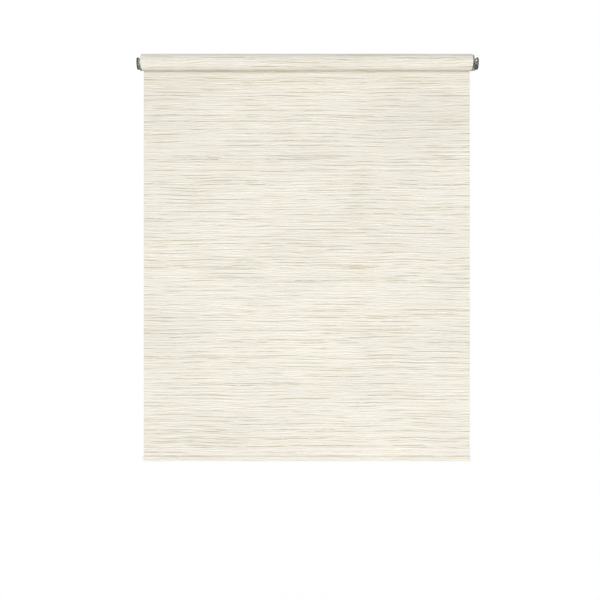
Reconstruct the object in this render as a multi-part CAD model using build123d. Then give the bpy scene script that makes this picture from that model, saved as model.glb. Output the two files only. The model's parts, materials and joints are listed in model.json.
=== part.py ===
from build123d import *
import math
import os

# A cordless spring roller shade, in millimetres.
# X runs along the roller, Y points at the wall and Z is up.
# The origin is the centre of the four wall-screw holes, on the wall plane.

# Cloth
cloth_width = 914.0
cloth_length = 1829.0
cloth_thick = 0.54
hanging_length = 1112.0
slub_height = 0.2
slub_width = 1.3
slub_count = 110
slub_longest = 300.0
slub_shortest = 60.0
roll_slub_count = 22
turn_gap = 0.2
turn_gap_depth = 0.8

# Roller tube and the tape that holds the cloth to it
tube_od = 38.0
tube_wall = 0.9
tape_width = 15.0
tape_thick = 0.15
tape_inset = 2.0

# Places of the roller
wall_to_full_roll = 8.0
spear_side_gap = 11.0
pin_side_gap = 15.0
roll_to_drop_gap = 0.3

# Brackets
plate_thick = 1.2
nose_radius = 17.0
nose_centre_ahead = 1.0
nose_centre_below = 5.0
rim_depth = 3.0
rim_end_to_wall = 8.0
rim_edge_fillet = 0.9
flange_length = 21.0
flange_half_height = 14.0
flange_corner = 4.0
bend_radius = 1.4
elbow_length = 5.0
screw_hole_radius = 2.1
screw_hole_inset = 13.0
screw_hole_spacing = 17.0

# Spear, bush and clip
spear_height = 9.0
spear_thick = 2.2
spear_slot_play = 0.2
spear_overhang = 3.0
spear_collar_radius = 5.0
spear_collar_length = 1.5
shank_radius = 3.0
bush_radius = 5.0
bush_flange_radius = 7.2
bush_flange_length = 1.6
clip_radius = 5.6
clip_groove_depth = 0.6
clip_thick = 0.8
clip_mouth = 3.6
end_play = 0.3
running_clearance = 0.06

# Spring end cap
cap_flange_length = 1.5
cap_boss_radius = 6.3
cap_boss_length = 6.0
cap_boss_round = 0.8
cap_floor = 3.0
cap_wall = 2.0
cap_depth = 27.0

# Ratchet and pawls
clip_to_wheel_gap = 2.0
wheel_to_shaft_gap = 3.0
wheel_radius = 9.0
wheel_width = 5.0
wheel_notches = 4
notch_depth = 2.8
notch_lock_angle = 46.0
notch_ramp_angle = 50.0
pawl_pivot_radius = 12.8
pawl_width = 4.4
pawl_eye_radius = 2.6
pawl_arm_length = 8.0
pawl_arm_tip = 1.5
pawl_arm_offset = 2.0
pivot_radius = 1.25
pivot_head_radius = 2.2
pivot_head_length = 1.0
pivot_seat_depth = 2.2

# Shaft, spring and anchors
shaft_radius = 5.0
shank_in_shaft = 14.0
wire = 2.5
spring_bore_radius = 7.7
spring_turns = 88
spring_grip = 10.0
spring_leg_length = 2.2
shaft_bare_end = 2.0
anchor_flange_length = 2.0
anchor_flange_radius = 10.4
anchor_plug_length = 12.0
shaft_bush_radius = 6.4

# Pin end
plug_flange_length = 4.0
plug_depth = 22.0
plug_floor = 4.0
plug_wall = 2.0
plug_boss_radius = 5.5
pin_radius = 3.0
pin_overhang = 3.0
pin_seated = 18.0

# Hem
hem_height = 14.0
hem_thick = 6.2
hem_play = 0.1
bar_wall = 1.0
bar_inset = 1.0
rail_cap_length = 3.2
rail_cap_spigot = 14.0
rail_cap_play = 0.05
rail_cap_round = 1.0

# What follows from them
tube_radius = tube_od / 2
tube_bore = tube_radius - tube_wall
wound_length = cloth_length - hanging_length
roll_radius = math.sqrt(tube_radius**2 + wound_length * cloth_thick / math.pi)
full_roll_radius = math.sqrt(tube_radius**2 + cloth_length * cloth_thick / math.pi)
axis_y = -(full_roll_radius + wall_to_full_roll)
half_span = (cloth_width + spear_side_gap + pin_side_gap) / 2
cloth_left = -half_span + spear_side_gap
cloth_right = half_span - pin_side_gap
cloth_middle = (cloth_left + cloth_right) / 2
ground_thick = cloth_thick - slub_height
drop_front = axis_y + roll_radius + roll_to_drop_gap
drop_middle = drop_front + slub_height + ground_thick / 2
wheel_left = cloth_left + cap_floor + bush_flange_length + end_play + clip_thick + clip_to_wheel_gap
shaft_left = wheel_left + wheel_width + wheel_to_shaft_gap
spring_left = shaft_left + shaft_bare_end + anchor_flange_length
spring_length = spring_turns * wire
spring_right = spring_left + spring_length
spring_outer = spring_bore_radius + wire


def about_axis(x):
    """A plane across the roller's axis at x, with its own X along +Y and its own Y along +Z."""
    return Plane(origin=(x, axis_y, 0), x_dir=(0, 1, 0), z_dir=(1, 0, 0))


def along_roller(sketch, x0, x1):
    """A section of the roller, run from x0 to x1."""
    return extrude(about_axis(x0) * sketch, amount=x1 - x0, dir=(1, 0, 0))


def rod(x0, x1, radius):
    return along_roller(Circle(radius), x0, x1)


def ring(x0, x1, outer, inner):
    return along_roller(Circle(outer) - Circle(inner), x0, x1)


def spread(index):
    """An even but irregular run of numbers from 0 to 1."""
    golden = (math.sqrt(5) - 1) / 2
    return (index * golden) % 1


# Brackets


def bracket_outline(inset=0.0):
    """The end plate's outline about the roller's axis: a round nose, drawn in to the elbow at the wall."""
    nose_x = -nose_centre_ahead
    nose_y = -nose_centre_below
    elbow_x = -axis_y - elbow_length
    radius = nose_radius - inset
    half_height = flange_half_height - inset
    top = (nose_x, nose_y + radius)
    tip = (nose_x - radius, nose_y)
    bottom = (nose_x, nose_y - radius)
    nose = ThreePointArc(top, tip, bottom)
    back = Polyline(bottom, (elbow_x, -half_height), (elbow_x, half_height), top)
    return make_face([nose, back])


def blank_bracket():
    """The left stamping without its slot or hole: a rimmed plate, an elbow and a flange on the wall."""
    outside = -half_span - plate_thick
    inside = -half_span
    plate = along_roller(bracket_outline(), outside, inside + rim_depth)
    elbow_y = -elbow_length
    tolerance = 0.01
    rim_edges = [
        e for e in plate.edges()
        if abs(e.center().X - outside) < tolerance and e.center().Y < elbow_y - tolerance
    ]
    plate = fillet(rim_edges, rim_edge_fillet)
    plate -= along_roller(bracket_outline(plate_thick), inside, inside + rim_depth)
    trim = Box(2 * rim_depth, rim_end_to_wall, 4 * nose_radius, align=(Align.MIN, Align.MAX, Align.CENTER))
    plate -= Pos(inside, 0, 0) * trim

    bend = fillet(Polyline(
        (outside + plate_thick / 2, elbow_y),
        (outside + plate_thick / 2, -plate_thick / 2),
        (outside + flange_length, -plate_thick / 2),
    ).vertices()[1:2], bend_radius)
    section = trace(bend, plate_thick)
    flange = extrude(section, amount=flange_half_height, both=True)
    free_corners = flange.edges().filter_by(Axis.Y).group_by(Axis.X)[-1]
    flange = fillet(free_corners, flange_corner)
    bracket = plate + flange
    for z in (-screw_hole_spacing / 2, screw_hole_spacing / 2):
        hole = Cylinder(screw_hole_radius, 4 * plate_thick, rotation=(90, 0, 0))
        bracket -= Pos(-half_span + screw_hole_inset, 0, z) * hole
    return bracket


def spear_bracket():
    """The slot is open at the top, and the spear's lower edge rests at its foot."""
    reach = nose_radius + spear_height
    slot = Box(
        4 * rim_depth + 4 * plate_thick,
        spear_thick + 2 * spear_slot_play,
        reach + spear_height / 2,
        align=(Align.CENTER, Align.CENTER, Align.MIN),
    )
    return blank_bracket() - Pos(-half_span, axis_y, -spear_height / 2) * slot


def pin_bracket():
    plate = mirror(blank_bracket(), about=Plane.YZ)
    hole = rod(half_span - plate_thick, half_span + 2 * plate_thick, pin_radius + running_clearance)
    return plate - hole


# Spear and what turns on it


boss_face = cloth_left - cap_flange_length - cap_boss_length
collar_right = boss_face - end_play
collar_left = collar_right - spear_collar_length
spear_tip = -half_span - plate_thick - spear_overhang
shank_end = shaft_left + shank_in_shaft
cap_inside = cloth_left + cap_floor
clip_left = cap_inside + bush_flange_length + end_play
groove_radius = shank_radius - clip_groove_depth


def spring_spear():
    """A flat tongue, a collar and a round shank, with a groove for the clip."""
    tongue = Box(collar_left - spear_tip, spear_thick, spear_height, align=(Align.MIN, Align.CENTER, Align.CENTER))
    tongue = Pos(spear_tip, axis_y, 0) * tongue
    tip_corners = tongue.edges().filter_by(Axis.Y).group_by(Axis.X)[0]
    tongue = fillet(tip_corners, spear_thick)
    spear = tongue + rod(collar_left, collar_right, spear_collar_radius)
    spear += rod(collar_right, shank_end, shank_radius)
    spear -= ring(clip_left, clip_left + clip_thick, clip_radius, groove_radius)
    return spear


def spear_clip():
    """An open ring that snaps into the shank's groove."""
    clip = ring(clip_left, clip_left + clip_thick, clip_radius, groove_radius)
    mouth = Box(2 * clip_thick, clip_mouth, 2 * clip_radius, align=(Align.CENTER, Align.CENTER, Align.MAX))
    return clip - Pos(clip_left + clip_thick / 2, axis_y, 0) * mouth


def spear_bush():
    bush = ring(boss_face, cap_inside, bush_radius, shank_radius + running_clearance)
    lip = ring(cap_inside, cap_inside + bush_flange_length, bush_flange_radius, shank_radius + running_clearance)
    return bush + lip


def pawl_angles():
    return (90.0, 270.0)


def pivot_place(angle):
    """Where a pawl pivots, about the roller's axis."""
    turn = math.radians(angle)
    return (pawl_pivot_radius * math.cos(turn), pawl_pivot_radius * math.sin(turn))


def spring_end_cap():
    """A cup that plugs the tube. Its boss carries the bush and its floor the pawls' pins."""
    cap = rod(boss_face, cloth_left - cap_flange_length, cap_boss_radius)
    rim = cap.edges().filter_by(GeomType.CIRCLE).group_by(Axis.X)[0]
    cap = fillet(rim, cap_boss_round)
    cap += rod(cloth_left - cap_flange_length, cloth_left, tube_radius)
    cap += rod(cloth_left, cloth_left + cap_depth, tube_bore)
    cap -= rod(cap_inside, cloth_left + cap_depth, tube_bore - cap_wall)
    cap -= rod(boss_face, cap_inside, bush_radius)
    for angle in pawl_angles():
        place = Pos(*pivot_place(angle))
        cap -= along_roller(place * Circle(pivot_radius), cap_inside - pivot_seat_depth, cap_inside)
    return cap


# Ratchet


def polar(radius, angle):
    turn = math.radians(angle)
    return (radius * math.cos(turn), radius * math.sin(turn))


def ratchet_wheel():
    """Each notch has one straight locking side and a ramp that lifts the pawl out."""
    outline = Circle(wheel_radius) - Circle(shank_radius)
    floor = wheel_radius - notch_depth
    outside = wheel_radius + notch_depth
    notch = make_face(
        Polyline(
            polar(floor, notch_lock_angle),
            polar(outside, notch_lock_angle),
            polar(outside, notch_lock_angle - notch_ramp_angle),
            polar(wheel_radius, notch_lock_angle - notch_ramp_angle),
            polar(floor, notch_lock_angle - notch_ramp_angle / 2),
            close=True,
        )
    )
    for k in range(wheel_notches):
        outline -= Rot(0, 0, 360 / wheel_notches * k) * notch
    return along_roller(outline, wheel_left, wheel_left + wheel_width)


def pawl(angle):
    """A lever on its pin, shown swung clear of the wheel. Its nose points the way the roller raises."""
    px, py = pawl_pivot_radius, 0
    tip_x = px - pawl_arm_offset
    tip_y = pawl_arm_length
    arm = make_face(
        Polyline(
            (px - pawl_eye_radius, py),
            (tip_x - pawl_arm_tip / 2, tip_y),
            (tip_x + pawl_arm_tip / 2, tip_y),
            (px + pawl_eye_radius / 2, py),
            close=True,
        )
    )
    eye = Pos(px, py) * Circle(pawl_eye_radius)
    hole = Pos(px, py) * Circle(pivot_radius + running_clearance)
    outline = Rot(0, 0, angle) * (arm + eye - hole)
    left = wheel_left + (wheel_width - pawl_width) / 2
    return along_roller(outline, left, left + pawl_width)


def pawl_pin(angle):
    place = Pos(*pivot_place(angle))
    pawl_right = wheel_left + (wheel_width + pawl_width) / 2
    head_left = pawl_right + end_play
    pin = along_roller(place * Circle(pivot_radius), cap_inside - pivot_seat_depth, head_left)
    pin += along_roller(place * Circle(pivot_head_radius), head_left, head_left + pivot_head_length)
    spacer_right = wheel_left + (wheel_width - pawl_width) / 2 - end_play
    pin += along_roller(place * Circle(pivot_head_radius), cap_inside, spacer_right)
    return pin


# Spring


def spring_shaft():
    shaft = rod(shaft_left, spring_right + anchor_plug_length - end_play, shaft_radius)
    return shaft - rod(shaft_left, shank_end, shank_radius)


def shaft_anchor():
    """A sleeve on the shaft, with a flange at the spring's end and a notch for the wire."""
    flange = ring(spring_left - anchor_flange_length, spring_left, anchor_flange_radius, shaft_radius)
    sleeve = ring(spring_left, spring_left + spring_grip, spring_bore_radius, shaft_radius)
    return flange + sleeve - leg(spring_left - spring_leg_length, spring_left)


def leg(x0, x1):
    """The straight end of the spring's wire."""
    place = Pos(0, spring_bore_radius + wire / 2)
    return along_roller(place * Circle(wire / 2), x0, x1)


def torsion_spring():
    """Close-wound, so its turns touch: a tube ridged at each turn, with a straight leg at each end."""
    inner = spring_bore_radius
    middle = spring_bore_radius + wire / 2
    points = [(spring_left, inner), (spring_left, middle)]
    for turn in range(spring_turns):
        start = spring_left + turn * wire
        points.append((start + wire / 2, spring_outer))
        points.append((start + wire, middle))
    points.append((spring_right, inner))
    profile = make_face(Polyline(*points, close=True))
    plane = Plane(origin=(0, axis_y, 0), x_dir=(1, 0, 0), z_dir=(0, -1, 0))
    axis = Axis((0, axis_y, 0), (1, 0, 0))
    spring = revolve(plane * profile, axis, 360)
    spring += leg(spring_left - spring_leg_length, spring_left + wire / 2)
    spring += leg(spring_right - wire / 2, spring_right + spring_leg_length)
    return spring


def tube_anchor():
    """A plug in the tube, with a snout inside the spring's last turns and a notch for the wire."""
    plug = rod(spring_right, spring_right + anchor_plug_length, tube_bore)
    plug += rod(spring_right - spring_grip, spring_right, spring_bore_radius)
    plug -= rod(spring_right - spring_grip, spring_right + anchor_plug_length, shaft_bush_radius)
    return plug - leg(spring_right, spring_right + spring_leg_length)


def shaft_bush():
    bore = shaft_radius + running_clearance
    return ring(spring_right - spring_grip, spring_right + anchor_plug_length, shaft_bush_radius, bore)


# Tube and pin end


def roller_tube():
    return ring(cloth_left, cloth_right, tube_radius, tube_bore)


def pin_end_plug():
    plug = rod(cloth_right, cloth_right + plug_flange_length, tube_radius)
    plug += rod(cloth_right - plug_depth, cloth_right, tube_bore)
    plug -= rod(cloth_right - plug_depth, cloth_right - plug_floor, tube_bore - plug_wall)
    plug += rod(cloth_right - pin_seated, cloth_right - plug_floor, plug_boss_radius)
    return plug - rod(cloth_right - pin_seated, cloth_right + plug_flange_length, pin_radius)


def round_pin():
    pin = rod(cloth_right - pin_seated, half_span + plate_thick + pin_overhang, pin_radius)
    free_end = pin.edges().filter_by(GeomType.CIRCLE).group_by(Axis.X)[-1]
    return fillet(free_end, pin_radius / 3)


# Cloth


def fabric_tape():
    band = ring(cloth_left + tape_inset, cloth_right - tape_inset, tube_radius + tape_thick, tube_radius)
    strip = Box(2 * cloth_width, tape_width, 2 * tube_radius, align=(Align.CENTER, Align.CENTER, Align.MIN))
    return band & (Pos(0, axis_y, 0) * strip)


def turn_gap_section():
    """The line between the roll's turns: a two-centre spiral of half circles, as wide as turn_gap."""
    turns = (roll_radius - slub_height - tube_radius) / cloth_thick
    step = cloth_thick / 2
    halves = []
    for k in range(2 * math.floor(turns - 0.5)):
        side = 1 if k % 2 == 0 else -1
        centre = (side * step / 2, 0)
        radius = tube_radius + cloth_thick + step * (k + 0.5)
        halves.append(CenterArc(centre, radius, 90 + 90 * side, 180))
    return trace(halves, turn_gap)


def fabric_roll():
    ground_radius = roll_radius - slub_height
    roll = ring(cloth_left, cloth_right, ground_radius, tube_radius)
    slubs = []
    for k in range(roll_slub_count):
        angle = 360 / roll_slub_count * k
        length = slub_shortest + (slub_longest - slub_shortest) * spread(3 * k)
        x = cloth_left + length / 2 + (cloth_width - length) * spread(k)
        slub = Box(length, slub_height * 2, slub_width)
        slub = Pos(x, axis_y, 0) * Rot(angle, 0, 0) * Pos(0, ground_radius, 0) * slub
        slubs.append(slub & rod(cloth_left, cloth_right, roll_radius))
    roll = roll.fuse(*slubs) if slubs else roll
    roll -= fabric_tape()
    gap = turn_gap_section()
    roll -= along_roller(gap, cloth_left, cloth_left + turn_gap_depth)
    roll -= along_roller(gap, cloth_right - turn_gap_depth, cloth_right)
    return roll


hem_middle = -hanging_length + hem_height / 2
bar_height = hem_height - 2 * (ground_thick + hem_play)
bar_thick = hem_thick - 2 * (ground_thick + hem_play)


def upright_slot(height, thick, middle_y, middle_z):
    """A section with round top and foot, across the roller."""
    place = Pos(middle_y - axis_y, middle_z)
    return place * Rot(0, 0, 90) * SlotOverall(height, thick)


def fabric_drop():
    """The hanging cloth with its slubs, and the hem pocket round the bar."""
    top = 0.0
    sheet_foot = hem_middle + hem_height / 2 - ground_thick / 2
    sheet = Pos(drop_middle - axis_y, (top + sheet_foot) / 2) * Rectangle(ground_thick, top - sheet_foot)
    pocket = upright_slot(hem_height, hem_thick, drop_middle, hem_middle)
    pocket -= upright_slot(hem_height - 2 * ground_thick, hem_thick - 2 * ground_thick, drop_middle, hem_middle)
    drop = along_roller(sheet + pocket, cloth_left, cloth_right)

    slubs = []
    run = top - sheet_foot - 2 * hem_height
    for k in range(slub_count):
        length = slub_shortest + (slub_longest - slub_shortest) * spread(5 * k)
        x = cloth_left + length / 2 + (cloth_width - length) * spread(k)
        z = top - hem_height - run * (k + 0.5 * spread(7 * k)) / slub_count
        slub = Box(length, 2 * slub_height, slub_width)
        slubs.append(Pos(x, drop_front + slub_height, z) * slub)
    return drop.fuse(*slubs)


def hem_bar():
    """A hollow flat oval bar."""
    section = upright_slot(bar_height, bar_thick, drop_middle, hem_middle)
    section -= upright_slot(bar_height - 2 * bar_wall, bar_thick - 2 * bar_wall, drop_middle, hem_middle)
    return along_roller(section, cloth_left + bar_inset, cloth_right - bar_inset)


def rail_cap_left():
    """A moulded cap at the end of the hem, with a spigot in the bar's hollow."""
    face = upright_slot(hem_height, hem_thick, drop_middle, hem_middle)
    cap = along_roller(face, cloth_left - rail_cap_length, cloth_left)
    outer_edges = cap.edges().group_by(Axis.X)[0]
    cap = fillet(outer_edges, rail_cap_round)
    hollow_height = bar_height - 2 * bar_wall - 2 * rail_cap_play
    hollow_thick = bar_thick - 2 * bar_wall - 2 * rail_cap_play
    spigot = upright_slot(hollow_height, hollow_thick, drop_middle, hem_middle)
    return cap + along_roller(spigot, cloth_left, cloth_left + rail_cap_spigot)


def rail_cap_right():
    return mirror(rail_cap_left(), about=Plane.YZ.offset(cloth_middle))


pieces = {
    "spear_bracket": spear_bracket(),
    "pin_bracket": pin_bracket(),
    "spring_spear": spring_spear(),
    "spear_clip": spear_clip(),
    "spear_bush": spear_bush(),
    "spring_end_cap": spring_end_cap(),
    "ratchet_wheel": ratchet_wheel(),
    "spring_shaft": spring_shaft(),
    "shaft_anchor": shaft_anchor(),
    "torsion_spring": torsion_spring(),
    "tube_anchor": tube_anchor(),
    "shaft_bush": shaft_bush(),
    "roller_tube": roller_tube(),
    "pin_end_plug": pin_end_plug(),
    "round_pin": round_pin(),
    "fabric_tape": fabric_tape(),
    "fabric_roll": fabric_roll(),
    "fabric_drop": fabric_drop(),
    "hem_bar": hem_bar(),
    "rail_cap_left": rail_cap_left(),
    "rail_cap_right": rail_cap_right(),
}
for number, angle in enumerate(pawl_angles(), start=1):
    pieces[f"pawl_{number}"] = pawl(angle)
    pieces[f"pawl_pin_{number}"] = pawl_pin(angle)

os.makedirs("parts", exist_ok=True)
for name, piece in pieces.items():
    export_step(piece, f"parts/{name}.step")
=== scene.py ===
import json
import math

import bpy
import numpy as np
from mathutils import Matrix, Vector


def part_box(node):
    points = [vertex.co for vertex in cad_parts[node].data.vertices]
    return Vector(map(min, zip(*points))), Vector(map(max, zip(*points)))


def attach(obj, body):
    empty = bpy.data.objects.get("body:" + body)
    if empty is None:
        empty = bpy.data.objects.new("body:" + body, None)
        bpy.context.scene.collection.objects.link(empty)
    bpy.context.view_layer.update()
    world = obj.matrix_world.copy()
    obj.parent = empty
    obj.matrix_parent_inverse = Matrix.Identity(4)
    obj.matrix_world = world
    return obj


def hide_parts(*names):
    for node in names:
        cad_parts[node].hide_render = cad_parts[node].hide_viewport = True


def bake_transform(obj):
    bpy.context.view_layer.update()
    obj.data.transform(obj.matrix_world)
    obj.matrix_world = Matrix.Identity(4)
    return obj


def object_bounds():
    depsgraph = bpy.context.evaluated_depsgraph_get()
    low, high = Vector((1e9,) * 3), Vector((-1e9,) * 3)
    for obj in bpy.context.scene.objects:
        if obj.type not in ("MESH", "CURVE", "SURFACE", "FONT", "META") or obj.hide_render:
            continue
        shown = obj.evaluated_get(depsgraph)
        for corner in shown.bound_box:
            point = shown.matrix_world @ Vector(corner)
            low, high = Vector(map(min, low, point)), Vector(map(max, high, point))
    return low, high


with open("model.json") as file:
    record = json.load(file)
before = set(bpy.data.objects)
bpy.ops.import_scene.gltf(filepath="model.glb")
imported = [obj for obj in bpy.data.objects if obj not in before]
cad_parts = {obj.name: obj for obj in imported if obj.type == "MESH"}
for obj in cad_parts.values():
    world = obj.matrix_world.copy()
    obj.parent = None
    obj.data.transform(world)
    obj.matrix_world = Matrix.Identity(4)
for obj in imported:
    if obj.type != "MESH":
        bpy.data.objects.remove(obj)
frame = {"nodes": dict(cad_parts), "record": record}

# A cordless spring roller shade: cloth, hem, finishes, floor, lamps and camera.
# Everything is in metres: X along the roller, Y towards the wall, Z up. Named angles are in degrees.

cad_low, cad_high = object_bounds()

# Sizes read from the frame
roll_low, roll_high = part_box("fabric_roll")
drop_low, drop_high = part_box("fabric_drop")
tube_low, tube_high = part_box("roller_tube")
cloth_left, cloth_right = drop_low.x, drop_high.x
cloth_width = cloth_right - cloth_left
cloth_middle = (cloth_left + cloth_right) / 2
axis_y = (tube_low.y + tube_high.y) / 2
tube_radius = (tube_high.y - tube_low.y) / 2
roll_radius = (roll_high.y - roll_low.y) / 2
hem_foot = drop_low.z
hem_front, hem_back = drop_low.y, drop_high.y
drop_plane = (hem_front + hem_back) / 2
hem_thick = hem_back - hem_front

# The cloth, whose thickness is without its raised yarns
ground_thick = 0.00034
hem_height = 0.014

# Columns of points across the cloth, with one more just inside each edge
column_width = 0.0188
selvedge = 0.0006
inner_columns = round(cloth_width / column_width) + 1
column_x = np.linspace(cloth_left, cloth_right, inner_columns)
column_x = np.insert(column_x, [1, inner_columns - 1], [cloth_left + selvedge, cloth_right - selvedge])
columns = len(column_x)

# The weave. Heights are shares of yarn_relief, and the dip beside a yarn has a share of the yarn's slub
yarn_pitch = 0.00245
uneven_pitch = 0.25
yarn_relief = 0.00020
plain_height = 0.4
dip_height = 0.05
dip_slub = 0.25
warp_pitch = 0.0014

# Slub yarns. Each swells in long waves and in short ones, and the next is a few yarns further down
slub_long_wave = 0.09
slub_short_wave = 0.028
slub_short_share = 0.8
slub_least = 0.2
slub_swells_from = -0.15
slub_swell_range = 0.8
slub_sharpness = 1.3
next_slub_least = 2
next_slub_most = 5

# The yarns wander up and down: height of a wave, and its size across and along the cloth
broad_wave = (0.0022, 0.075, 0.06)
small_wave = (0.0008, 0.035, 0.02)
fewest_waves = 2
drop_wave_fade = 0.03
roll_wave_fade = 0.02

# The roll. Its outermost turn has raised yarns, its rows are fine for a little longer, and its slubs fade
# out towards its left end
roll_turns = 5.57
raised_turns = 1.0
fine_turns = 1.1
coarse_turn = 1 / 48
plain_end = 0.009

# The hanging cloth starts on the back of the roll, thin and flat. Its thickness and its relief grow there,
# each over a share of the way down
wrap_angle = 75.0
wrap_clearance = 0.00012
wrap_thickens = 0.4
wrap_rises = 0.3
wrap_thinnest = 0.05
drop_lean = 0.00025

# Painted shadow under the roll: a few yarns there are painted tan, and paler ones below them are painted
# light
painted_shadow_below = 0.0186
painted_shadow_width = 0.0036
painted_shadow_depth = 0.40
painted_shadow_dip = 0.6
painted_light_below = 0.0280
painted_light_width = 0.0070
painted_light_depth = 0.2

# The hem's pocket is a plainer stretch of the same cloth, with a row of stitches above it
hem_slub = 0.35
hem_relief = 0.35
hem_arc_step = 7.5
hem_flat_steps = 6
stitch_pitch = 0.0036
stitch_length = 0.0026
stitch_radius = 0.00026
stitch_taper = 0.96
stitch_proud = 0.6
stitch_uneven = 0.00015
stitch_rings = 7
stitch_sides = 6
stitches_above_hem = 0.0009
# Near the seam the yarns flatten, and their slub colour fades, as painted light over the seam's shadow line:
# the distance, and the share of slub kept
seam_fade_length = 0.004
painted_light_slub_share = 0.3

# The roll and the hem count their yarns from here, apart from the hanging cloth's
roll_yarns = 2000
hem_yarns = 1000

# The weights of a piece's points are rounded to this many steps
weight_steps = 64

# Facets of the hard parts meet at less than crisp_angle, and their real edges at more. Points nearer to each
# other than weld_distance are shaded as one
crisp_angle = 28.0
weld_distance = 2e-6

# Camera, set for a picture that is 600 pixels square. It is level, and looks along Y
camera_place = (-0.0209, -2.034, -0.660)
camera_turn = (math.radians(90), 0, 0)
camera_lens = 43.26
sensor_width = 36.0

# Floor: grey up to the nearer distance from its middle, and white to the camera beyond the further one
floor_drop = 1.0
floor_radius = 9
floor_corners = 96
floor_fade = (0.5, 1.6)
floor_grey = (0.86, 0.86, 0.86, 1)

# Light
white = (1, 1, 1, 1)
background_light = 0.63
lamps_aim_at = (cloth_middle, 0, (cad_low.z + cad_high.z) / 2)

# Dark cards, which reach from card_near to card_far on each side of X = 0
card_near, card_far = 0.75, 4.75
card_front, card_back = -4.2, 4.2
card_low, card_high = cad_low.z - 0.9, 3.4
card_black = (0.02, 0.02, 0.02, 1)

rng = np.random.default_rng(7)


# Shader helpers


def srgb(red, green, blue):
    """A colour given as screen values from 0 to 255, in linear light."""
    linear = []
    for value in (red, green, blue):
        c = value / 255
        linear.append(c / 12.92 if c <= 0.04045 else ((c + 0.055) / 1.055) ** 2.4)
    return (*linear, 1.0)


def set_inputs(made, inputs):
    """Links a node's inputs to the sockets given for them, and sets the rest of them to the values given."""
    for key, value in inputs.items():
        socket = made.inputs[key]
        if isinstance(value, bpy.types.NodeSocket):
            made.id_data.links.new(value, socket)
        else:
            socket.default_value = value


def node(tree, kind, inputs=None, **settings):
    """A new node of the kind given, with its own settings made before its inputs."""
    made = tree.nodes.new(kind)
    for name, value in settings.items():
        setattr(made, name, value)
    set_inputs(made, inputs or {})
    return made


def calc(tree, operation, a, b=0.0):
    return node(tree, "ShaderNodeMath", {0: a, 1: b}, operation=operation).outputs[0]


def plus(tree, a, b):
    return calc(tree, "ADD", a, b)


def times(tree, a, b):
    return calc(tree, "MULTIPLY", a, b)


def average(tree, a, b):
    return times(tree, plus(tree, a, b), 0.5)


def step(tree, value, low, high, out_low=0.0, out_high=1.0):
    """A smooth step from out_low to out_high, as value goes from low to high."""
    inputs = {"Value": value, "From Min": low, "From Max": high, "To Min": out_low, "To Max": out_high}
    return node(tree, "ShaderNodeMapRange", inputs, interpolation_type="SMOOTHSTEP").outputs[0]


def half_waves(tree, count):
    """Half a wave over each whole number of count: 0 at both of its ends, and 1 midway."""
    return calc(tree, "SINE", times(tree, calc(tree, "FRACT", count), math.pi))


def mix_colour(tree, factor, a, b, blend_type="MIX"):
    """Colour a, with b laid over it by a factor that is held between 0 and 1.

    The node has sockets for each type of data. 6 and 7 going in, and 2 coming out, are those for colours.
    """
    settings = {"data_type": "RGBA", "blend_type": blend_type}
    return node(tree, "ShaderNodeMix", {0: factor, 6: a, 7: b}, **settings).outputs[2]


def vector(tree, x, y, z):
    return node(tree, "ShaderNodeCombineXYZ", {"X": x, "Y": y, "Z": z}).outputs[0]


def object_place(tree):
    """The place on a piece, in metres along its own axes."""
    return node(tree, "ShaderNodeTexCoord").outputs["Object"]


def stretched(tree, place, scale):
    """A place multiplied by a scale for each axis."""
    return node(tree, "ShaderNodeVectorMath", {0: place, 1: scale}, operation="MULTIPLY").outputs[0]


def noise(tree, place, scale=1.0, detail=2.0, roughness=0.5):
    inputs = {"Vector": place, "Scale": scale, "Detail": detail, "Roughness": roughness}
    return node(tree, "ShaderNodeTexNoise", inputs).outputs["Fac"]


def bump(tree, height, distance, strength=1.0):
    inputs = {"Height": height, "Distance": distance, "Strength": strength}
    return node(tree, "ShaderNodeBump", inputs).outputs[0]


def material(name):
    """A new material with a Principled shader. Returns the material, its tree and the shader."""
    made = bpy.data.materials.new(name)
    made.use_nodes = True
    return made, made.node_tree, made.node_tree.nodes["Principled BSDF"]


# Cloth material


def per_yarn(tree, across, number, scale, seed, detail=2.0):
    """Noise that runs along each yarn by itself: it has no link with the yarns beside it."""
    between_yarns = 17.31
    place = vector(tree, times(tree, across, scale), times(tree, number, between_yarns), seed)
    return noise(tree, place, detail=detail, roughness=0.6)


def unlike_neighbours(tree, across, number, scale, seed):
    """Noise about 0.5 along each yarn, less that of the yarns above and below, so that yarns stand apart."""
    own = per_yarn(tree, across, number, scale, seed)
    above = per_yarn(tree, across, plus(tree, number, 1), scale, seed)
    below = per_yarn(tree, across, calc(tree, "SUBTRACT", number, 1), scale, seed)
    around = average(tree, above, below)
    return plus(tree, calc(tree, "SUBTRACT", own, around), 0.5)


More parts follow.
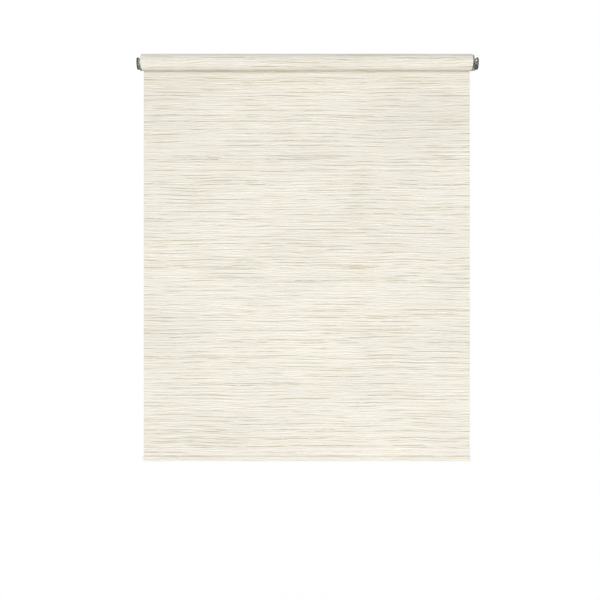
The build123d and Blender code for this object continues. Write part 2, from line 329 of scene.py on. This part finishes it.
def slub_cloth():
    """Cream cloth with tan slub yarns. U is in metres across the cloth, and V counts its yarns.

    The slub attribute goes from 0, plain, to 1, tan, and below 0 it makes a paler yarn, as painted light.
    """
    dim_cream = srgb(226, 219, 202)
    dull_cream = srgb(224, 216, 198)
    pale_cream = srgb(255, 253, 246)
    ochre = srgb(180, 156, 110)
    olive = srgb(164, 159, 132)
    clouds_across, clouds_by_yarn, clouds_seed = 2.2, 0.011, 15
    warp_height = 0.3
    bump_height = 0.00012

    made, tree, shader = material("slub_cloth")
    uv = node(tree, "ShaderNodeUVMap", uv_map="yarns").outputs["UV"]
    place = node(tree, "ShaderNodeSeparateXYZ", {"Vector": uv}).outputs
    across, count = place["X"], place["Y"]
    slub = node(tree, "ShaderNodeAttribute", attribute_name="slub").outputs["Fac"]

    # A yarn is two strands. The warp threads cross one strand half a turn out of step with the next
    yarn = calc(tree, "FLOOR", count)
    crown = half_waves(tree, count)
    doubled = times(tree, count, 2)
    strand = calc(tree, "FLOOR", doubled)
    strand_crown = half_waves(tree, doubled)
    turn = times(tree, across, 2 * math.pi / warp_pitch)
    warp = calc(tree, "SINE", plus(tree, turn, times(tree, strand, math.pi)))

    # Noise along the yarns and strands, and clouds over the whole cloth
    long_tone = unlike_neighbours(tree, across, yarn, scale=6, seed=0)
    short_tone = unlike_neighbours(tree, across, yarn, scale=24, seed=3)
    strand_tone = per_yarn(tree, across, strand, scale=9, seed=6)
    flecks = per_yarn(tree, across, strand, scale=160, seed=9, detail=1)
    hue = per_yarn(tree, across, yarn, scale=3, seed=12)
    clouds_x, clouds_y = times(tree, across, clouds_across), times(tree, count, clouds_by_yarn)
    clouds = noise(tree, vector(tree, clouds_x, clouds_y, clouds_seed))

    # Cream yarns
    tone = step(tree, average(tree, long_tone, short_tone), 0.32, 0.68)
    colour = mix_colour(tree, tone, dim_cream, pale_cream)
    dull = step(tree, strand_tone, 0.5, 0.72, out_high=0.8)
    colour = mix_colour(tree, dull, colour, dull_cream)

    # Slub yarns, and the paler yarns of painted light
    broken = step(tree, short_tone, 0.45, 0.7, out_low=1.0, out_high=0.4)
    flecked = step(tree, flecks, 0.1, 0.5, out_low=0.7)
    thick = times(tree, times(tree, slub, broken), flecked)
    slub_colour = mix_colour(tree, step(tree, hue, 0.4, 0.6), ochre, olive)
    colour = mix_colour(tree, thick, colour, slub_colour)
    # Painted light: a slub below 0 mixes in pale cream
    pale = times(tree, slub, -1)
    colour = mix_colour(tree, pale, colour, pale_cream)

    # Tone that differs at random (flecks, clouds), times painted shade in the grooves between strands and
    # where a strand dips under the warp
    shade = step(tree, flecks, 0.2, 0.8, out_low=0.95, out_high=1.03)
    shade = times(tree, shade, step(tree, warp, -1.0, 0.6, out_low=0.93, out_high=1.01))
    shade = times(tree, shade, step(tree, clouds, 0.3, 0.7, out_low=0.965, out_high=1.025))
    shade = times(tree, shade, step(tree, strand_crown, 0.0, 0.6, out_low=0.94))
    colour = mix_colour(tree, 1.0, colour, shade, blend_type="MULTIPLY")

    relief = times(tree, strand_crown, plus(tree, times(tree, warp, warp_height), 1.0))
    relief = plus(tree, relief, times(tree, crown, slub))
    set_inputs(shader, {
        "Base Color": colour,
        "Normal": bump(tree, relief, bump_height, strength=0.6),
        "Roughness": 0.85,
        "Specular IOR Level": 0.25,
        "Sheen Weight": 0.12,
        "Sheen Roughness": 0.5,
    })
    return made


def thread():
    """Twisted sewing thread, a little darker than the cloth. Its ply turns so many radians a metre."""
    turn_along_x, turn_along_z = 9000, 6000
    bump_height = 0.00005

    made, tree, shader = material("thread")
    place = node(tree, "ShaderNodeSeparateXYZ", {"Vector": object_place(tree)}).outputs
    twist = plus(tree, times(tree, place["X"], turn_along_x), times(tree, place["Z"], turn_along_z))
    ply = step(tree, calc(tree, "SINE", twist), -1.0, 1.0)
    set_inputs(shader, {
        "Base Color": mix_colour(tree, ply, srgb(216, 209, 190), srgb(234, 228, 212)),
        "Normal": bump(tree, ply, bump_height),
        "Roughness": 0.7,
    })
    return made


# Finishes of the hard parts


def plated(name, tint, roughness, grime):
    """Plated or rolled metal with a faint brushed grain and duller patches."""
    grain_scale = (200, 900, 900)
    grain_height = 0.00001
    patch_scale = 90
    duller_by = 0.12

    made, tree, shader = material(name)
    place = object_place(tree)
    patches = noise(tree, place, scale=patch_scale, detail=4)
    grain = noise(tree, stretched(tree, place, grain_scale))
    set_inputs(shader, {
        "Base Color": mix_colour(tree, step(tree, patches, 0.35, 0.75), srgb(*tint), srgb(*grime)),
        "Roughness": step(tree, patches, 0.3, 0.8, roughness, roughness + duller_by),
        "Normal": bump(tree, grain, grain_height, strength=0.4),
        "Metallic": 1.0,
    })
    return made


def moulded(name, tint, shade, roughness=0.4):
    """Moulded plastic with a fine texture and slight mottling."""
    mottle_scale = 60
    duller_by = 0.1
    pit_scale = 2500
    pit_depth = 0.00002

    made, tree, shader = material(name)
    place = object_place(tree)
    mottle = noise(tree, place, scale=mottle_scale, detail=3)
    pits = noise(tree, place, scale=pit_scale, detail=1)
    set_inputs(shader, {
        "Base Color": mix_colour(tree, step(tree, mottle, 0.3, 0.7), srgb(*tint), srgb(*shade)),
        "Roughness": step(tree, mottle, 0.3, 0.7, roughness, roughness + duller_by),
        "Normal": bump(tree, pits, pit_depth),
    })
    return made


def dowel_wood():
    """Pale turned wood, with its grain along the roller."""
    grain_scale = (14, 900, 900)
    grain_height = 0.0001

    made, tree, shader = material("dowel_wood")
    grain = noise(tree, stretched(tree, object_place(tree), grain_scale), detail=4)
    dark = step(tree, grain, 0.35, 0.7)
    set_inputs(shader, {
        "Base Color": mix_colour(tree, dark, srgb(214, 184, 140), srgb(168, 128, 84)),
        "Normal": bump(tree, grain, grain_height),
        "Roughness": 0.6,
    })
    return made


finishes = {
    "nickel_plate": plated("nickel_plate", (236, 235, 231), 0.16, (222, 220, 215)),
    "white_plastic": moulded("white_plastic", (244, 243, 238), (238, 236, 230)),
    "tube_steel": plated("tube_steel", (186, 188, 190), 0.34, (150, 153, 156)),
    "pressed_steel": plated("pressed_steel", (168, 166, 162), 0.38, (128, 125, 120)),
    "spring_steel": plated("spring_steel", (112, 112, 116), 0.30, (74, 74, 78)),
    "dowel_wood": dowel_wood(),
    "grey_nylon": moulded("grey_nylon", (92, 94, 97), (80, 82, 85), 0.45),
    "adhesive_tape": moulded("adhesive_tape", (226, 220, 200), (214, 207, 185), 0.5),
    "bar_aluminium": plated("bar_aluminium", (204, 205, 207), 0.32, (180, 181, 184)),
}
cloth_finish = slub_cloth()


def round_shading():
    """A node group that shades facets as one curved face, and keeps real edges crisp."""
    group = bpy.data.node_groups.new("round_shading", "GeometryNodeTree")
    for direction in ("INPUT", "OUTPUT"):
        group.interface.new_socket("Geometry", in_out=direction, socket_type="NodeSocketGeometry")
    start = node(group, "NodeGroupInput").outputs[0]
    inputs = {"Geometry": start, "Name": "custom_normal"}
    plain = node(group, "GeometryNodeRemoveAttribute", inputs).outputs[0]
    inputs = {"Geometry": plain, "Distance": weld_distance}
    joined = node(group, "GeometryNodeMergeByDistance", inputs).outputs[0]
    inputs = {"Geometry": joined, "Shade Smooth": True}
    smooth = node(group, "GeometryNodeSetShadeSmooth", inputs, domain="FACE").outputs[0]
    angle = node(group, "GeometryNodeInputMeshEdgeAngle").outputs["Unsigned Angle"]
    crisp = calc(group, "GREATER_THAN", angle, math.radians(crisp_angle))
    inputs = {"Geometry": smooth, "Selection": crisp, "Shade Smooth": False}
    edged = node(group, "GeometryNodeSetShadeSmooth", inputs, domain="EDGE").outputs[0]
    node(group, "NodeGroupOutput", {0: edged})
    return group


def finish_nodes():
    """Gives each hard CAD node the finish of its slot in the record, and shades its facets round."""
    rounding = round_shading()
    for part in frame["record"]["subparts"]:
        name, slot = part["node"], part["material_slot"]
        if slot not in finishes:
            continue
        made = frame["nodes"][name]
        made.data.materials.clear()
        made.data.materials.append(finishes[slot])
        made.modifiers.new("round_shading", "NODES").node_group = rounding


# Making objects


def add_object(name, data):
    made = bpy.data.objects.new(name, data)
    bpy.context.scene.collection.objects.link(made)
    return made


def add_mesh(name, points, faces, smooth=False):
    mesh = bpy.data.meshes.new(name)
    mesh.from_pydata(points, [], faces)
    if smooth:
        mesh.polygons.foreach_set("use_smooth", [True] * len(mesh.polygons))
    return add_object(name, mesh)


def set_weights(made, group_name, values):
    """A vertex group whose weights are rounded to a few steps, so that it is set in few calls."""
    group = made.vertex_groups.new(name=group_name)
    rounded = np.rint(np.clip(values.ravel(), 0, 1) * weight_steps).astype(int)
    for weight in range(weight_steps + 1):
        members = np.nonzero(rounded == weight)[0]
        if len(members):
            group.add(members.tolist(), weight / weight_steps, "REPLACE")


# Cloth surfaces


def smooth_noise(count_x, count_y, shape):
    """Seeded noise from about -1 to 1 on a shape = (rows, columns) grid, with count_y by count_x cells.

    A cubic spline goes by four values each way. It evens them out, and the gain makes up for that.
    """
    taps = 4
    gain = 2
    values = rng.uniform(-1, 1, (count_y + taps, count_x + taps))

    def spline(places):
        """The cell that each place is in, and the weights there of the four values about it."""
        cell = np.floor(places).astype(int)
        t = places - cell
        weights = np.stack([
            (1 - t) ** 3,
            3 * t**3 - 6 * t**2 + 4,
            -3 * t**3 + 3 * t**2 + 3 * t + 1,
            t**3,
        ])
        return cell, weights / 6

    row_cell, row_weight = spline(np.linspace(1, count_y + 1, shape[0]))
    column_cell, column_weight = spline(np.linspace(1, count_x + 1, shape[1]))
    out = np.zeros(shape)
    for i in range(taps):
        for k in range(taps):
            part = values[np.ix_(row_cell - 1 + i, column_cell - 1 + k)]
            out += row_weight[i][:, None] * column_weight[k][None, :] * part
    return out * gain


def yarn_rows(length):
    """Places along the cloth: a row on each yarn and one between, with an uneven pitch."""
    count = 2 * round(length / yarn_pitch)
    steps = rng.uniform(1 - uneven_pitch, 1 + uneven_pitch, count)
    places = np.concatenate([[0.0], np.cumsum(steps)])
    return places * length / places[-1]


def yarns_of(rows):
    """The number of each row's yarn, and whether the row is on the yarn, and not in the dip beside it."""
    row = np.arange(len(rows))
    return (row + 1) // 2, (row % 2 == 1)[:, None]


def yarn_wave(rows, length, fade):
    """How far the yarns wander up and down, in metres, dying out at both ends of the cloth."""
    wander = 0
    for height, wave_width, wave_length in (broad_wave, small_wave):
        waves_across = round(cloth_width / wave_width)
        waves_along = max(fewest_waves, round(length / wave_length))
        wander = wander + height * smooth_noise(waves_across, waves_along, (len(rows), columns))
    near_end = np.minimum(rows, length - rows) / fade
    return wander * np.clip(near_end, 0, 1)[:, None]


def slub_amount(yarns):
    """How much slub each yarn has at each column, from 0 to 1.

    Every second to fifth yarn is a slubby one, and the rest are plain.
    """
    amount = np.zeros((yarns, columns))
    long_waves = round(cloth_width / slub_long_wave)
    short_waves = round(cloth_width / slub_short_wave)
    yarn = 1
    while yarn < yarns:
        swell = smooth_noise(long_waves, 1, (2, columns))[0]
        swell += slub_short_share * smooth_noise(short_waves, 1, (2, columns))[0]
        full = np.clip((swell - slub_swells_from) / slub_swell_range, 0, 1) ** slub_sharpness
        amount[yarn] = slub_least + (1 - slub_least) * full
        yarn += rng.integers(next_slub_least, next_slub_most + 1)
    return amount


def yarn_height(slub):
    """How high a yarn is, from a low plain one to one that is all slub."""
    return plain_height + (1 - plain_height) * slub


def line_across(places, middle, width, power):
    """1 along the middle of a line across the cloth, fading to 0. A higher power has a flatter top."""
    return np.exp(-(((places - middle) / width) ** power))[:, None]


def inverse_smoothstep(w):
    """The t whose 3t^2 - 2t^3 is w."""
    return 0.5 - np.sin(np.arcsin(1 - 2 * w) / 3)


def thicken(made, thickness_group=None):
    """Gives a single layer of cloth its thickness, then raises its yarns on both faces."""
    solid = made.modifiers.new("thickness", "SOLIDIFY")
    solid.thickness = ground_thick
    solid.offset = 0.0
    solid.use_even_offset = False
    if thickness_group:
        solid.vertex_group = thickness_group
        solid.thickness_vertex_group = wrap_thinnest
    yarn = made.modifiers.new("yarns", "DISPLACE")
    yarn.direction = "NORMAL"
    yarn.vertex_group = "relief"
    yarn.mid_level = 0.0
    yarn.strength = yarn_relief


def cloth_piece(name, points, yarns, slub, relief, thickness=None):
    """Cloth over a grid of points (rows, columns, 3). yarns counts the yarns up to each row.

    slub, relief and thickness have a value for each point. Without the last, it is fully thick all over.
    """
    rows = len(points)
    index = np.arange(rows * columns).reshape(rows, columns)
    quads = np.stack([index[:-1, :-1], index[:-1, 1:], index[1:, 1:], index[1:, :-1]], axis=-1)
    made = add_mesh(name, points.reshape(-1, 3).tolist(), quads.reshape(-1, 4).tolist(), smooth=True)
    mesh = made.data
    uv = np.stack(np.broadcast_arrays(column_x[None, :] - cloth_left, yarns[:, None]), axis=-1)
    corner = np.empty(len(mesh.loops), dtype=np.int64)
    mesh.loops.foreach_get("vertex_index", corner)
    layer = mesh.uv_layers.new(name="yarns")
    layer.data.foreach_set("uv", uv.reshape(-1, 2)[corner].astype(np.float32).ravel())
    tone = mesh.attributes.new("slub", "FLOAT", "POINT")
    tone.data.foreach_set("value", slub.astype(np.float32).ravel())
    mesh.update()
    set_weights(made, "relief", relief)
    if thickness is None:
        thicken(made)
    else:
        set_weights(made, "thickness", thickness)
        thicken(made, "thickness")
    mesh.materials.append(cloth_finish)
    return made


def cloth_drop():
    """The hanging cloth, and the length it was cut to.

    Its top lies on the back of the roll, so that it leaves it in a tangent. It leans by drop_lean towards
    the wall on its way down.
    """
    hang = -(hem_foot + hem_height)
    wrap_radius = drop_plane - drop_lean - axis_y
    wrap_length = wrap_radius * math.radians(wrap_angle)
    length = wrap_length + hang
    rows = yarn_rows(length)
    along = rows[:, None] + yarn_wave(rows, length, drop_wave_fade)

    wrapped = along < wrap_length
    turn = np.where(wrapped, (wrap_length - along) / wrap_radius, 0)
    to_top = turn / math.radians(wrap_angle)
    radius = wrap_radius - (wrap_radius - roll_radius - wrap_clearance) * to_top
    down = np.clip(along - wrap_length, 0, hang)
    lean = drop_lean * inverse_smoothstep(np.clip(down / hang, 0, 1))
    points = np.empty((*along.shape, 3))
    points[..., 0] = column_x[None, :]
    points[..., 1] = np.where(wrapped, axis_y + radius * np.cos(turn), drop_plane - drop_lean + lean)
    points[..., 2] = np.where(wrapped, radius * np.sin(turn), -down)

    yarn, on_yarn = yarns_of(rows)
    amount = slub_amount(yarn[-1] + 1)[yarn]
    # Painted shadow: a line of tan yarns just below the roll
    tan = line_across(rows - wrap_length, painted_shadow_below, painted_shadow_width, power=2)
    # Painted light: a band of paler yarns below the painted shadow, offsetting the roll's shade
    pale = line_across(rows - wrap_length, painted_light_below, painted_light_width, power=4)
    amount = np.maximum(amount, painted_shadow_depth * tan)
    # The painted shadow also darkens the dips beside its yarns
    slub = amount * np.where(on_yarn, 1.0, dip_slub + painted_shadow_dip * tan)
    relief = np.where(on_yarn, yarn_height(slub), dip_height)
    # Painted light: here the slub goes below 0, which makes the yarns paler than plain cloth
    slub -= (painted_light_depth + slub) * pale
    # Near the seam the relief flattens, and the slub colour fades as painted light over the seam's shadow
    from_seam = np.clip((rows[-1] - rows) / seam_fade_length, 0, 1)
    slub *= (painted_light_slub_share + (1 - painted_light_slub_share) * from_seam)[:, None]
    relief *= (np.clip(rows / (wrap_rises * wrap_length), 0, 1) * from_seam)[:, None]
    thickness = np.clip(rows / (wrap_thickens * wrap_length), 0, 1)[:, None]
    thickness = np.broadcast_to(thickness, along.shape)

    made = cloth_piece("cloth_drop", points, np.arange(len(rows)) / 2, slub, relief, thickness)
    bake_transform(made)
    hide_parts("fabric_drop")
    return made, length


def cloth_roll():
    """The cloth wound on the tube, as one sheet in a spiral from its outer end inwards."""
    outer = roll_radius - yarn_relief - ground_thick / 2
    inner = tube_radius + ground_thick / 2
    per_turn = 2 * math.pi * outer
    fine = yarn_rows(fine_turns * per_turn) / per_turn
    coarse = np.arange(fine_turns, roll_turns, coarse_turn)[1:]
    turns = np.concatenate([fine, coarse, [roll_turns]])
    radius = outer - (outer - inner) * turns / roll_turns
    rows = turns * 2 * math.pi * (outer + radius) / 2
    wave = yarn_wave(rows, rows[-1], roll_wave_fade)
    wave[len(fine):] = 0

    # The spiral's outer end lies under the top of the hanging cloth
    start = math.radians(wrap_angle / 2)
    angle = start + 2 * math.pi * turns[:, None] + wave / outer
    points = np.empty((*angle.shape, 3))
    points[..., 0] = column_x[None, :]
    points[..., 1] = axis_y + radius[:, None] * np.cos(angle)
    points[..., 2] = radius[:, None] * np.sin(angle)

    yarn, on_yarn = yarns_of(turns)
    slub = slub_amount(yarn[-1] + 1)[yarn] * np.where(on_yarn, 1.0, dip_slub)
    slub = slub * np.clip((column_x - cloth_left) / plain_end, 0, 1)[None, :]
    raised = (turns < raised_turns)[:, None]
    relief = np.where(on_yarn, yarn_height(slub), dip_height) * raised

    made = cloth_piece("cloth_roll", points, roll_yarns + np.arange(len(turns)) / 2, slub, relief)
    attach(made, "roller")
    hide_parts("fabric_roll")
    return made


def hem_section(radius, centre):
    """The pocket's outline as (y, z) about its middle: down its front, round its foot and up its back.

    Its top and foot are round, with centres that lie so far above and below its middle.
    """
    section = []

    def arc(start, end, z):
        for k in range(round((end - start) / hem_arc_step) + 1):
            turn = math.radians(start + hem_arc_step * k)
            section.append((radius * math.cos(turn), z + radius * math.sin(turn)))

    def flat(y, z):
        for k in range(1, hem_flat_steps):
            section.append((y, z - 2 * z * k / hem_flat_steps))

    arc(90, 180, centre)
    flat(-radius, centre)
    arc(180, 360, -centre)
    flat(radius, -centre)
    arc(0, 90, centre)
    return np.array(section)


def cloth_hem():
    """The pocket at the foot: the cloth folded round the bar and joined to itself above it."""
    section = hem_section(hem_thick / 2 - ground_thick / 2, hem_height / 2 - hem_thick / 2)
    length = np.concatenate([[0], np.cumsum(np.hypot(*np.diff(section, axis=0).T))])
    points = np.empty((len(section), columns, 3))
    points[..., 0] = column_x[None, :]
    points[..., 1] = drop_plane + section[:, :1]
    points[..., 2] = hem_foot + hem_height / 2 + section[:, 1:]

    yarns = length / yarn_pitch
    amount = slub_amount(math.ceil(yarns[-1]) + 2)
    crown = np.sin(np.pi * (yarns % 1))[:, None] ** 2
    slub = hem_slub * amount[yarns.astype(int)] * crown
    half_length = length[-1] / 2
    clear_of_seam = np.abs(length - half_length) < half_length - hem_thick / 2
    relief = hem_relief * yarn_height(slub) * crown * clear_of_seam[:, None]

    made = cloth_piece("cloth_hem", points, hem_yarns + yarns, slub, relief)
    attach(made, "rail")
    return made


def stitch_shape():
    """One stitch along X about its own middle: its points, and its faces as lists of their numbers."""
    rings = np.linspace(-1, 1, stitch_rings)
    sides = np.radians(np.arange(0, 360, 360 / stitch_sides))
    swell = np.sqrt(1 - (stitch_taper * rings) ** 2)
    points = np.empty((stitch_rings, stitch_sides, 3))
    points[..., 0] = rings[:, None] * stitch_length / 2
    points[..., 1] = swell[:, None] * stitch_radius * np.cos(sides)
    points[..., 2] = swell[:, None] * stitch_radius * np.sin(sides)
    index = np.arange(stitch_rings * stitch_sides).reshape(stitch_rings, stitch_sides)
    onward = np.roll(index, -1, axis=1)
    quads = np.stack([index[:-1], index[1:], onward[1:], onward[:-1]], axis=-1).reshape(-1, 4)
    return points.reshape(-1, 3), quads.tolist() + [index[0].tolist(), index[-1][::-1].tolist()]


def hem_stitches():
    """A row of stitches across the front and the back of the cloth, just above the pocket."""
    stitch_points, stitch_faces = stitch_shape()
    row_z = hem_foot + hem_height + stitches_above_hem
    from_cloth = ground_thick / 2 + stitch_proud * stitch_radius
    points, faces = [], []
    for side in (-1, 1):
        y = drop_plane + side * from_cloth
        for x in np.arange(cloth_left + stitch_pitch, cloth_right - stitch_pitch / 2, stitch_pitch):
            z = row_z + stitch_uneven * rng.uniform(-1, 1)
            start = len(points)
            points += (stitch_points + (x, y, z)).tolist()
            faces += [[start + number for number in face] for face in stitch_faces]
    made = add_mesh("hem_stitches", points, faces, smooth=True)
    made.data.materials.append(thread())
    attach(made, "rail")
    return made


# Stage: floor, lamps, background and camera


def floor():
    """A pale disc that takes the shadow and fades to plain white further out."""
    middle = (cloth_middle, 0, cad_low.z - floor_drop)
    bpy.ops.mesh.primitive_circle_add(
        vertices=floor_corners, radius=floor_radius, fill_type="NGON", location=middle
    )
    made = bpy.context.object
    made.name = "floor"
    paint, tree, shader = material("floor")
    set_inputs(shader, {"Base Color": floor_grey, "Roughness": 0.9, "Specular IOR Level": 0.1})
    measure = node(tree, "ShaderNodeVectorMath", {0: object_place(tree)}, operation="LENGTH")
    far = step(tree, measure.outputs["Value"], *floor_fade)
    seen = node(tree, "ShaderNodeLightPath").outputs["Is Camera Ray"]
    glow = node(tree, "ShaderNodeEmission", {"Strength": 1.0}).outputs[0]
    factor = times(tree, far, seen)
    mixed = node(tree, "ShaderNodeMixShader", {0: factor, 1: shader.outputs[0], 2: glow})
    set_inputs(tree.nodes["Material Output"], {"Surface": mixed.outputs[0]})
    made.data.materials.append(paint)


def background():
    """Lights the scene evenly, and shows white to the camera and in reflections."""
    world = bpy.data.worlds.new("studio")
    bpy.context.scene.world = world
    world.use_nodes = True
    tree = world.node_tree
    tree.nodes.clear()
    rays = node(tree, "ShaderNodeLightPath").outputs
    seen = calc(tree, "MAXIMUM", rays["Is Camera Ray"], rays["Is Glossy Ray"])
    seen = calc(tree, "MAXIMUM", seen, rays["Is Transmission Ray"])
    light = node(tree, "ShaderNodeBackground", {"Color": white, "Strength": background_light})
    shown = node(tree, "ShaderNodeBackground", {"Color": white, "Strength": 1.0})
    mixed = node(tree, "ShaderNodeMixShader", {0: seen, 1: light.outputs[0], 2: shown.outputs[0]})
    node(tree, "ShaderNodeOutputWorld", {"Surface": mixed.outputs[0]})


def dark_card(name, corners):
    """A black card that only reflections see: it gives the plated metal its dark lines."""
    made = add_mesh(name, corners, [(0, 1, 2, 3)])
    paint, _, shader = material(name)
    set_inputs(shader, {"Base Color": card_black, "Roughness": 1.0, "Specular IOR Level": 0.0})
    made.data.materials.append(paint)
    for ray in ("camera", "diffuse", "shadow", "transmission", "volume_scatter"):
        setattr(made, f"visible_{ray}", False)


def dark_cards():
    """Cards in front, below and above, beyond each end of the roller, with a pale gap between them."""
    for end, side in (("left", -1), ("right", 1)):
        near, far = side * card_near, side * card_far
        upright = [(near, card_low), (far, card_low), (far, card_high), (near, card_high)]
        dark_card(f"card_front_{end}", [(x, card_front, z) for x, z in upright])
        lying = [(near, card_front), (far, card_front), (far, card_back), (near, card_back)]
        for level, z in (("low", card_low), ("high", card_high)):
            dark_card(f"card_{level}_{end}", [(x, y, z) for x, y in lying])


def lamp(name, place, size, power, in_reflections=True):
    """A square lamp that points at the middle of the shade."""
    data = bpy.data.lights.new(name, "AREA")
    data.shape = "SQUARE"
    data.size = size
    data.energy = power
    made = add_object(name, data)
    made.location = place
    direction = Vector(lamps_aim_at) - Vector(place)
    made.rotation_euler = direction.to_track_quat("-Z", "Y").to_euler()
    made.visible_glossy = in_reflections


def camera():
    data = bpy.data.cameras.new("camera")
    data.lens = camera_lens
    data.sensor_width = sensor_width
    made = add_object("camera", data)
    made.location = camera_place
    made.rotation_euler = camera_turn
    bpy.context.scene.camera = made


camera()
floor()
background()
dark_cards()
lamp("left_lamp", (-1.7, -2.9, 0.05), size=1.0, power=12, in_reflections=False)
lamp("right_lamp", (1.7, -2.9, 0.05), size=1.0, power=12, in_reflections=False)
lamp("low_lamp", (0.1, -2.7, -1.3), size=1.0, power=22)
lamp("back_lamp", (-1.2, 3.2, 0.4), size=1.6, power=38, in_reflections=False)

drop, drop_length = cloth_drop()
roll = cloth_roll()
hem = cloth_hem()
stitches = hem_stitches()
finish_nodes()

bpy.context.scene.view_settings.view_transform = "Standard"
